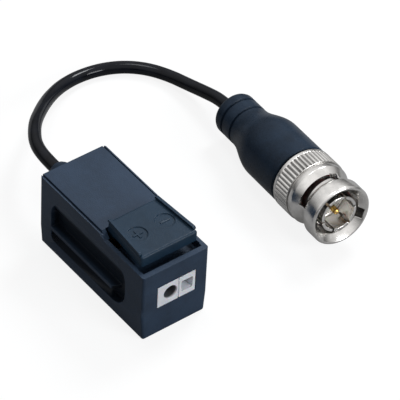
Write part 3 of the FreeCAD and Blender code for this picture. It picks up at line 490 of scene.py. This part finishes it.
def turned(outline, steps=128, rounding=0.0, closed=True):
    """Revolves an outline of (radius, station) pairs about the plug's axis, its corners rounded first."""
    shape = bmesh.new()
    corners = [shape.verts.new((radius * MM, 0.0, -station * MM)) for radius, station in outline]
    pairs = list(zip(corners, corners[1:])) + ([(corners[-1], corners[0])] if closed else [])
    for first, second in pairs:
        shape.edges.new((first, second))
    if rounding:
        inner = corners if closed else corners[1:-1]
        bmesh.ops.bevel(shape, geom=inner, offset=rounding * MM, offset_type="OFFSET", affect="VERTICES",
                        segments=3, profile=0.5, clamp_overlap=True, material=-1)
    bmesh.ops.spin(shape, geom=shape.verts[:] + shape.edges[:], cent=(0, 0, 0), axis=(0, 0, 1),
                   angle=2 * math.pi, steps=steps, use_merge=True)
    bmesh.ops.remove_doubles(shape, verts=shape.verts[:], dist=1e-8)
    bmesh.ops.recalc_face_normals(shape, faces=shape.faces[:])
    return shape


def brick(low, high):
    """A box between two corners in millimetres."""
    shape = bmesh.new()
    bmesh.ops.create_cube(shape, size=1.0)
    size = [b - a for a, b in zip(low, high)]
    middle = [(a + b) / 2 for a, b in zip(low, high)]
    bmesh.ops.scale(shape, vec=Vector(size) * MM, verts=shape.verts[:])
    bmesh.ops.translate(shape, vec=Vector(middle) * MM, verts=shape.verts[:])
    return shape


def rod(start, axis, radius, length, steps=48):
    """A cylinder from a start point along an axis, in millimetres."""
    shape = bmesh.new()
    bmesh.ops.create_cone(shape, cap_ends=True, segments=steps, radius1=radius * MM, radius2=radius * MM,
                          depth=length * MM)
    turn = Vector(axis).to_track_quat("Z", "Y").to_matrix().to_4x4()
    middle = Vector(start) * MM + Vector(axis).normalized() * length * MM / 2
    bmesh.ops.transform(shape, matrix=Matrix.Translation(middle) @ turn, verts=shape.verts[:])
    return shape


def turn_about_plug(shape, degrees):
    """Turns a shape about the plug's axis while it is still in the plug's own frame."""
    bmesh.ops.rotate(shape, cent=(0, 0, 0), matrix=Matrix.Rotation(math.radians(degrees), 3, "Z"),
                     verts=shape.verts[:])
    return shape


def carve(shape, *tools):
    """Cuts tools out of a shape and cleans what the cuts leave."""
    work = put_down("work", shape)
    cutters = [put_down("tool", tool) for tool in tools]
    for cutter in cutters:
        step = work.modifiers.new("cut", "BOOLEAN")
        step.operation = "DIFFERENCE"
        step.solver = "EXACT"
        step.object = cutter
    seen = work.evaluated_get(bpy.context.evaluated_depsgraph_get())
    mesh = bpy.data.meshes.new_from_object(seen)
    result = bmesh.new()
    result.from_mesh(mesh)
    for used in (work, *cutters):
        data = used.data
        bpy.data.objects.remove(used)
        bpy.data.meshes.remove(data)
    bpy.data.meshes.remove(mesh)
    bmesh.ops.remove_doubles(result, verts=result.verts[:], dist=2e-6)
    bmesh.ops.dissolve_degenerate(result, edges=result.edges[:], dist=2e-6)
    return result


def soften(shape, width, least=32.0, segments=2, room=0.0):
    """Breaks every edge that turns more than the least angle and has room for it among its neighbours."""
    sharp = [edge for edge in shape.edges if len(edge.link_faces) == 2
             and edge.calc_face_angle(0.0) > math.radians(least)
             and all(near.calc_length() > room * width for corner in edge.verts for near in corner.link_edges)]
    bmesh.ops.bevel(shape, geom=sharp, offset=width, offset_type="OFFSET", affect="EDGES", segments=segments,
                    profile=0.5, clamp_overlap=False, material=-1)
    return shape


def cad_copy(node):
    """A merged copy of a CAD node's mesh, with its flat faces whole again."""
    shape = bmesh.new()
    shape.from_mesh(frame["nodes"][node].data)
    bmesh.ops.remove_doubles(shape, verts=shape.verts[:], dist=1e-5)
    bmesh.ops.dissolve_limit(shape, angle_limit=math.radians(0.5), use_dissolve_boundaries=False,
                             verts=shape.verts[:], edges=shape.edges[:], delimit=set())
    return shape


def piece(name, shape, material, body, nodes, place=None):
    """Makes a shape into a finished piece that stands for CAD nodes, which it hides, and rides on a body if one is
    given.
    """
    if place is not None:
        bmesh.ops.transform(shape, matrix=place, verts=shape.verts[:])
    made = put_down(name, shape)
    made.data.materials.append(material)
    made.data.shade_smooth()
    made.data.set_sharp_from_angle(angle=SHARP)
    level = made.modifiers.new("flat faces", "WEIGHTED_NORMAL")
    level.keep_sharp = True
    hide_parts(*nodes)
    if body is not None:
        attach(made, body)
    return made


def dress(node, material):
    """Gives a CAD node that keeps its shape its finish."""
    mesh = frame["nodes"][node].data
    mesh.materials.clear()
    mesh.materials.append(material)


class BALUN_OT_stage(bpy.types.Operator):
    """Set up the camera, the lights and the floor"""
    bl_idname = "balun.stage"
    bl_label = "Stage"

    def execute(self, context):
        settings = context.scene.balun_stage
        self.camera(context, settings)
        self.lights(context)
        self.surroundings(context)
        self.floor(context, settings)
        return {"FINISHED"}

    def camera(self, context, settings):
        """The camera that was fitted to the photograph."""
        turn, rise = settings.azimuth, settings.elevation
        back = Vector((math.sin(turn) * math.cos(rise), -math.cos(turn) * math.cos(rise), math.sin(rise)))
        right = Vector((math.cos(turn), math.sin(turn), 0.0))
        up = back.cross(right)
        cosine, sine = math.cos(settings.roll), math.sin(settings.roll)
        columns = Matrix((right * cosine + up * sine, up * cosine - right * sine, back)).transposed()
        data = bpy.data.cameras.new("view")
        data.lens = settings.lens
        data.sensor_width = 36.0
        data.clip_start = 0.01
        data.clip_end = 10.0
        camera = bpy.data.objects.new("view", data)
        place = Matrix.Translation(Vector(settings.target) + back * settings.distance)
        camera.matrix_world = place @ columns.to_4x4()
        context.scene.collection.objects.link(camera)
        context.scene.camera = camera

    def lamp(self, context, name, place, aim, size, power, colour):
        """A rectangular softbox that faces a point."""
        data = bpy.data.lights.new(name, "AREA")
        data.shape = "RECTANGLE"
        data.size, data.size_y = size
        data.energy = power
        data.color = colour
        made = bpy.data.objects.new(name, data)
        made.location = place
        made.rotation_mode = "QUATERNION"
        made.rotation_quaternion = (Vector(aim) - Vector(place)).to_track_quat("-Z", "Y")
        context.scene.collection.objects.link(made)

    def lights(self, context):
        """Three softboxes, the key light at the right."""
        middle = (0.02, 0.012, 0.005)
        self.lamp(context, "top softbox", (0.03, 0.14, 0.55), middle, (0.17, 0.17), 0.6, (0.95, 0.98, 1.0))
        self.lamp(context, "right softbox", (0.36, 0.13, 0.44), middle, (0.16, 0.18), 1.7, (0.95, 0.98, 1.0))
        self.lamp(context, "front softbox", (0.20, -0.52, 0.30), middle, (0.26, 0.20), 1.9, (0.96, 0.98, 1.0))

    def surroundings(self, context):
        """White to the camera, dim as a light, and in reflections a room that brightens upwards."""
        world = bpy.data.worlds.new("studio")
        world.use_nodes = True
        graph = Graph(world.node_tree)
        background = world.node_tree.nodes["Background"]
        background.inputs["Color"].default_value = (1.0, 1.0, 1.0, 1.0)
        height = graph.axes(graph.node("ShaderNodeTexCoord", output="Generated"))[2]
        room = height.band(0.0, 0.8) * 0.88 + 0.12
        level = graph.choose(graph.ray("Glossy").most(graph.ray("Transmission")), 0.24, room)
        graph.feed(background.inputs["Strength"], graph.choose(graph.ray("Camera"), level, 1.0))
        context.scene.world = world
        context.scene.view_settings.view_transform = "Standard"

    def floor(self, context, settings):
        """A floor that the camera sees nearly white, with the shadow, and that throws little light back."""
        shape = bmesh.new()
        bmesh.ops.create_grid(shape, x_segments=1, y_segments=1, size=2.0)
        mesh = bpy.data.meshes.new("floor")
        shape.to_mesh(mesh)
        shape.free()
        finish = Finish("pale floor", Roughness=0.7)
        seen = finish.ray("Camera")
        colour = settings.floor_colour[:]
        finish.set(Base_Color=finish.mix(seen, shade(colour, settings.bounce), colour))
        glow = finish.node("ShaderNodeEmission", {}, {"Color": (1.0, 1.0, 1.0), "Strength": 1.03})
        share = (seen * 0.84).most(finish.ray("Glossy") * 0.12)
        mixed = finish.node("ShaderNodeMixShader", {},
                            {0: share, 1: Value(finish, finish.shader.outputs[0]), 2: glow})
        out = next(n for n in finish.tree.nodes if n.type == "OUTPUT_MATERIAL")
        finish.tree.links.new(mixed.socket, out.inputs["Surface"])
        mesh.materials.append(finish.material)
        made = bpy.data.objects.new("floor", mesh)
        context.scene.collection.objects.link(made)


class BALUN_OT_cable(bpy.types.Operator):
    """Lay the coax pigtail from the strain relief to the boot"""
    bl_idname = "balun.cable"
    bl_label = "Pigtail"

    def execute(self, context):
        settings = context.scene.balun_cable
        low = 0.00145
        straight = [tuple(PLUG @ Vector((0, 0, -station * MM))) for station in (BOOT_END + 4.6, BOOT_END)]
        points = [CABLE_EXIT, (0, 0.0270, 0.0116), (0.0012, 0.0318, 0.0110),
                  (0.00377, 0.03595, 0.0100), (0.0067, 0.03963, 0.0086), (0.01004, 0.04293, 0.0069),
                  (0.01364, 0.04623, 0.0051), (0.01764, 0.04923, 0.0035), (0.02214, 0.05153, 0.0023),
                  (0.02724, 0.05253, 0.0016), (0.03244, 0.05183, low), (0.03714, 0.04963, low),
                  (0.04084, 0.04613, low), (0.04324, 0.04153, 0.0016), (0.04424, 0.03623, 0.0024),
                  (0.04474, 0.03093, 0.0038), *straight]
        curve = bpy.data.curves.new("pigtail", "CURVE")
        curve.dimensions = "3D"
        line = curve.splines.new("NURBS")
        line.points.add(len(points) - 1)
        for point, place in zip(line.points, points):
            point.co = (*place, 1.0)
        line.order_u = 3
        line.use_endpoint_u = True
        curve.resolution_u = 12
        curve.bevel_depth = settings.diameter / 2
        curve.bevel_resolution = 8
        curve.materials.append(cable_jacket("jacket", settings.jacket_colour[:]))
        made = bpy.data.objects.new("pigtail", curve)
        context.scene.collection.objects.link(made)
        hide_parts("coax_cable")
        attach(made, "box")
        for node in ("cable_tail", "boot_cable_tail"):
            dress(node, curve.materials[0])
        return {"FINISHED"}


class BALUN_OT_shells(bpy.types.Operator):
    """Dress the lower and the upper shell of the box"""
    bl_idname = "balun.shells"
    bl_label = "Shells"

    def execute(self, context):
        settings = context.scene.balun_box
        wall, start, end = -7.95, -11.4, 13.4   # the pocket in the left wall
        low, ledge, high = 3.5, 6.95, 15.3
        # painted shade darkens the inside of that pocket
        plastic = moulded_plastic("shell plastic", settings.shell_colour[:], settings.grain / MM,
                                  shaded_recess=(wall, start, end, low, ledge, high))
        for name, node in (("lower_shell", "housing_base"), ("upper_shell", "housing_cover")):
            shape = soften(cad_copy(node), settings.edge, room=2.0)
            piece(name, shape, plastic, "box", [node])
        return {"FINISHED"}


class BALUN_OT_lever(bpy.types.Operator):
    """Dress the press lever and its pin"""
    bl_idname = "balun.lever"
    bl_label = "Press lever"

    def execute(self, context):
        settings = context.scene.balun_box
        plastic = moulded_plastic("lever plastic", settings.lever_colour[:], settings.grain / MM, gloss=0.36)
        shape = soften(cad_copy("press_lever"), settings.edge * 0.8, room=2.0)
        piece("thumb_lever", shape, plastic, "lever", ["press_lever"])
        dress("lever_pin", spring_steel("pin steel"))
        return {"FINISHED"}


class BALUN_OT_terminal(bpy.types.Operator):
    """Dress the white wire terminal, its clamps and contacts"""
    bl_idname = "balun.terminal"
    bl_label = "Wire terminal"

    def execute(self, context):
        settings = context.scene.balun_box
        nylon = terminal_plastic("terminal nylon", settings.terminal_colour[:],
                                 x=-1.125, z=9.8, radius=1.4, front=-17.25)
        shape = soften(cad_copy("terminal_block"), 0.06 * MM, room=2.0)
        piece("white_terminal", shape, nylon, "box", ["terminal_block"])
        steel = spring_steel("clamp steel")
        tin = spring_steel("contact tin", (0.58, 0.57, 0.55))
        for side in ("left", "right"):
            leaf = piece("clamp_leaf_" + side, cad_copy("clamp_spring_" + side), steel, None,
                         ["clamp_spring_" + side])
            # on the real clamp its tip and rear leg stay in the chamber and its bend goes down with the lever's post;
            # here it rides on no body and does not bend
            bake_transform(leaf)
            dress("contact_bar_" + side, tin)
        return {"FINISHED"}


class BALUN_OT_board(bpy.types.Operator):
    """Dress the circuit board and what stands on it"""
    bl_idname = "balun.board"
    bl_label = "Circuit board"

    def execute(self, context):
        dress("circuit_board", board_laminate("board laminate"))
        dress("transformer_core", sintered_ferrite("ferrite"))
        dress("transformer_winding", enamelled_wire("winding wire"))
        for node, middle in (("surge_diode", (0.02, 0.02, 0.02)), ("tuning_resistor", (0.03, 0.035, 0.05))):
            low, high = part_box(node)
            dress(node, chip_body(node + " body", (low.y / MM, high.y / MM), middle))
        return {"FINISHED"}


class BALUN_OT_relief(bpy.types.Operator):
    """Make the strain relief on the rear wall"""
    bl_idname = "balun.relief"
    bl_label = "Strain relief"

    def execute(self, context):
        settings = context.scene.balun_cable
        rubber = moulded_rubber("relief rubber", settings.boot_colour[:], gloss=0.36)
        rear, end = 17.3, 22.9
        outline = [(CABLE_BORE, rear - 2.1), (3.0, rear - 2.1), (3.0, rear - 1.2), (2.3, rear - 1.2), (2.3, rear),
                   (3.0, rear), (3.0, rear + 1.5), (2.9, rear + 2.4), (2.7, rear + 3.4), (2.42, rear + 4.4),
                   (2.05, rear + 5.1), (1.7, end - 0.1), (CABLE_BORE, end)]
        shape = turned(outline, 96, 0.18)
        place = Matrix.Translation((0, 0, CABLE_EXIT[2])) @ Matrix.Rotation(math.radians(90), 4, "X")
        piece("strain_relief", shape, rubber, "box", ["cable_gland"], place)
        return {"FINISHED"}


class BALUN_OT_boot(bpy.types.Operator):
    """Make the plug's moulded boot"""
    bl_idname = "balun.boot"
    bl_label = "Boot"

    def execute(self, context):
        settings = context.scene.balun_cable
        rubber = moulded_rubber("boot rubber", settings.boot_colour[:])
        start, front, neck = 15.08, 7.0, 4.85
        first, last, steps = 25.68, 34.48, 24
        outline = [(front - 0.25, start), (front, start + 0.25)]
        for step in range(steps + 1):
            share = step / steps
            fall = (1 - math.cos(math.pi * share)) / 2
            outline.append((front - fall * (front - neck), first + share * (last - first)))
        for place in (6.2, 2.9):
            middle = BOOT_END - place
            outline += [(neck, middle - 0.36), (neck - 0.45, middle - 0.2), (neck - 0.45, middle + 0.2),
                        (neck, middle + 0.36)]
        outline += [(neck, BOOT_END - 0.9), (neck - 0.2, BOOT_END - 0.42), (neck - 0.6, BOOT_END - 0.1),
                    (neck - 1.1, BOOT_END), (CABLE_BORE, BOOT_END), (CABLE_BORE, 23.24), (3.47, 23.24),
                    (3.47, start)]
        shape = turned(outline, 144, 0.1)
        piece("moulded_boot", shape, rubber, "box", ["plug_boot"], PLUG)
        return {"FINISHED"}


class BALUN_OT_nut(bpy.types.Operator):
    """Make the knurled bayonet coupling nut with its two tracks"""
    bl_idname = "balun.nut"
    bl_label = "Coupling nut"

    def execute(self, context):
        settings = context.scene.balun_plug
        knurl, depth = settings.knurl_radius / MM, settings.knurl_depth / MM
        start, end, steps = 9.55, 13.78, 6 * settings.knurl_count
        outline = [(4.95, 1.4), (6.3, 0.0), (6.6, 0.0), (6.9, 0.3), (6.9, 3.3), (5.65, 4.8), (5.65, 6.0),
                   (6.95, 8.0), (6.95, 9.2), (6.8, 9.2), (6.8, start), (knurl, start), (knurl, start + 0.3),
                   (knurl, end - 0.25), (knurl, end), (knurl, 14.28), (6.85, 14.58), (5.6, 14.58), (5.6, 13.48),
                   (3.55, 13.48), (3.55, 12.48), (4.95, 12.48)]
        shape = turned(outline, steps, 0.08)
        self.cut_knurl(shape, knurl, depth, start, end, settings.knurl_count)
        tools = [tool for turn in (0, 180) for tool in self.track(turn)]
        shape = soften(carve(shape, *tools), 0.06 * MM, least=50.0, segments=1)
        # painted shade in the knurl's valleys
        metal = plated_metal("nut nickel", settings.nickel_colour[:], groove_shade=(knurl - depth, knurl - 0.06, start, end))
        piece("bayonet_nut", shape, metal, "nut", ["coupling_nut"], PLUG)
        return {"FINISHED"}

    def cut_knurl(self, shape, knurl, depth, start, end, count):
        """Presses the V grooves into the band."""
        pitch = 2 * math.pi / count
        half_groove = 0.38   # of the pitch
        for vertex in shape.verts:
            radius = vertex.co.xy.length / MM
            station = -vertex.co.z / MM
            if radius < knurl - 0.2 or not start + 0.2 < station < end - 0.2:
                continue
            off = abs((math.atan2(vertex.co.y, vertex.co.x) / pitch + 0.5) % 1.0 - 0.5)
            fall = max(0.0, 1.0 - off / half_groove) * depth
            vertex.co.x *= (radius - fall) / radius
            vertex.co.y *= (radius - fall) / radius

    def track(self, turn):
        """What one bayonet track is cut with: entry channel, helical cam and the lug's round seat."""
        inner, deep, half = 4.35, 5.97, 1.1
        locked, sweep = 68 + turn, 92   # degrees about the axis
        rise, start, steps = 0.7, -6.9, 24
        entry = turn_about_plug(brick((inner, -half, -7.3), (deep, half, 1.0)), locked + sweep)
        cam = bmesh.new()
        ring = [cam.verts.new((radius * MM, 0, height * MM)) for radius, height in
                ((inner, -half), (deep - 0.02, -half), (deep - 0.02, half), (inner, half))]
        cam.faces.new(ring)
        bmesh.ops.spin(cam, geom=cam.verts[:] + cam.edges[:] + cam.faces[:], cent=(0, 0, 0), axis=(0, 0, 1),
                       dvec=(0, 0, rise * MM / steps), angle=math.radians(sweep), steps=steps, use_merge=False)
        bmesh.ops.translate(cam, vec=(0, 0, start * MM), verts=cam.verts[:])
        bmesh.ops.recalc_face_normals(cam, faces=cam.faces[:])
        turn_about_plug(cam, locked)
        seat = turn_about_plug(rod((inner, 0, -6.1), (1, 0, 0), half + 0.01, deep + 0.01 - inner), locked)
        return entry, cam, seat


class BALUN_OT_contacts(bpy.types.Operator):
    """Make the slotted collet, the red gasket, the insulator and the gold pin"""
    bl_idname = "balun.contacts"
    bl_label = "Contacts"

    def execute(self, context):
        settings = context.scene.balun_plug
        # painted shade on the collet's outside where it sits in the nut's cavity
        nickel = plated_metal("collet nickel", shade(settings.nickel_colour[:], 1.12), gloss=0.16,
                              groove_shade=(4.13, 4.02, 2.0, 9.6))
        collet = turned([(3.6, 0.7), (4.07, 0.7), (4.15, 0.78), (4.15, 8.18), (4.45, 8.18), (4.45, 9.58),
                         (3.52, 9.58), (3.52, 0.78)], 144, 0.03)
        slits = [turn_about_plug(brick((2.0, -0.225, -6.0), (5.0, 0.225, 1.0)), 9 + 60 * index)
                 for index in range(6)]
        collet = soften(carve(collet, *slits), 0.04 * MM, least=60.0, segments=1)
        piece("slotted_collet", collet, nickel, "box", ["outer_contact"], PLUG)
        gasket = turned([(4.47, 8.18), (4.85, 8.18), (4.85, 9.58), (4.47, 9.58)], 128, 0.1)
        piece("red_gasket", gasket, soft_silicone("silicone", settings.gasket_colour[:]), "box",
              ["front_gasket"], PLUG)
        core = turned([(0.99, 5.4), (2.95, 5.4), (2.95, 15.0), (0.99, 15.0)], 96, 0.12)
        piece("dielectric", core, white_dielectric("dielectric"), "box", ["insulator"], PLUG)
        nose = [(0.0, 1.3)]
        for step in range(1, 8):
            angle = math.radians(90) * step / 8
            nose.append((0.67 * math.sin(angle), 1.3 + 0.6 * (1 - math.cos(angle))))
        pin = turned(nose + [(0.67, 1.9), (0.67, 5.4), (0.97, 5.4), (0.97, 15.0), (0.0, 15.0)], 48, closed=False)
        gold = plated_metal("pin gold", settings.gold_colour[:], gloss=0.16, bare=(2.9, (0.40, 0.31, 0.22)))
        piece("signal_pin", pin, gold, "box", ["center_pin"], PLUG)
        body = [(2.97, 5.6), (3.5, 5.6), (3.5, 9.6), (4.85, 9.6), (4.85, 10.5), (3.45, 10.5), (3.45, 13.48),
                (3.15, 13.48), (3.15, 14.08), (3.45, 14.08), (3.45, 16.2), (2.42, 16.2), (2.42, 22.0),
                (CABLE_BORE, 22.0), (CABLE_BORE, 15.02), (2.97, 15.02)]
        piece("turned_body", turned(body, 128, 0.04), nickel, "box", ["plug_body"], PLUG)
        dress("thrust_ring", nickel)
        dress("crimp_ferrule", nickel)
        steel = spring_steel("ring steel")
        washer = piece("spring_washer", cad_copy("wave_washer"), steel, "box", ["wave_washer"])
        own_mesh(washer)   # the slide takes 0.9 of its 1.4 mm
        dress("retaining_ring", steel)
        return {"FINISHED"}


SETTINGS = {"balun_box": BalunBoxSettings, "balun_cable": BalunCableSettings, "balun_plug": BalunPlugSettings,
            "balun_stage": BalunStageSettings}
OPERATORS = (BALUN_OT_stage, BALUN_OT_cable, BALUN_OT_shells, BALUN_OT_lever, BALUN_OT_terminal, BALUN_OT_board,
             BALUN_OT_relief, BALUN_OT_boot, BALUN_OT_nut, BALUN_OT_contacts)


class BALUN_PT_panel(bpy.types.Panel):
    """Lists the balun's sizes, colours and pieces"""
    bl_idname = "BALUN_PT_panel"
    bl_label = "Video balun"
    bl_space_type = "VIEW_3D"
    bl_region_type = "UI"
    bl_category = "Balun"

    def draw(self, context):
        """One box for each group of settings, then the operators."""
        for name, group in SETTINGS.items():
            box = self.layout.box()
            box.label(text=group.__doc__)
            for field in group.__annotations__:
                box.prop(getattr(context.scene, name), field)
        for operator in OPERATORS:
            self.layout.operator(operator.bl_idname)


def register():
    """Adds the settings, the operators and the panel."""
    for group in SETTINGS.values():
        bpy.utils.register_class(group)
    for operator in (*OPERATORS, BALUN_PT_panel):
        bpy.utils.register_class(operator)
    for name, group in SETTINGS.items():
        setattr(bpy.types.Scene, name, PointerProperty(type=group))


def unregister():
    """Takes them away again."""
    for name in SETTINGS:
        delattr(bpy.types.Scene, name)
    for known in (BALUN_PT_panel, *reversed(OPERATORS), *SETTINGS.values()):
        bpy.utils.unregister_class(known)


def main():
    """Builds the scene."""
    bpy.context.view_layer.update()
    register()
    bpy.ops.balun.stage()
    bpy.ops.balun.cable()
    bpy.ops.balun.shells()
    bpy.ops.balun.lever()
    bpy.ops.balun.terminal()
    bpy.ops.balun.board()
    bpy.ops.balun.relief()
    bpy.ops.balun.boot()
    bpy.ops.balun.nut()
    bpy.ops.balun.contacts()


if __name__ == "__main__":
    main()
